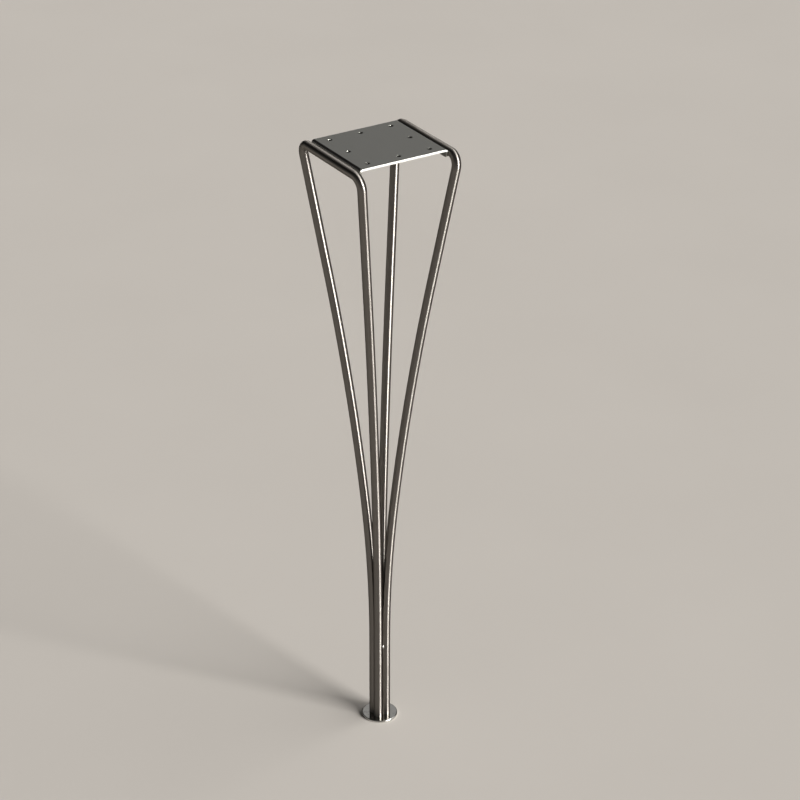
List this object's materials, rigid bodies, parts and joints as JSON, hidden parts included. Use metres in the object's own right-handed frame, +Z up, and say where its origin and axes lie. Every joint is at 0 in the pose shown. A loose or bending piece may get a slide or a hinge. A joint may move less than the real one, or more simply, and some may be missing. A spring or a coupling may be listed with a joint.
{
  "type": "table leg",
  "caption": "Chromed table leg of bent round-bar hoops that meet in an upright bundle on a round foot, with a folded, drilled plate on top that screws to the table.",
  "frame": {"origin": "centre of the foot disc's underside", "axes": "+Z up the leg to the mounting plate, X across the hoops, Y along their bridges"},
  "size_m": [0.127, 0.127, 0.71],
  "materials": {
    "bar_chrome": "bright chrome plate on drawn steel bar",
    "plate_chrome": "satin chrome plate on rolled sheet",
    "foot_chrome": "bright chrome plate on a blanked disc",
    "weld_chrome": "chrome plate over rippled weld"
  },
  "bodies": {
    "root": {"hoop_left": "bar_chrome", "hoop_right": "bar_chrome", "mounting_plate": "plate_chrome", "foot_disc": "foot_chrome", "tack_welds": "weld_chrome", "plate_welds": "weld_chrome"}
  },
  "joints": []
}
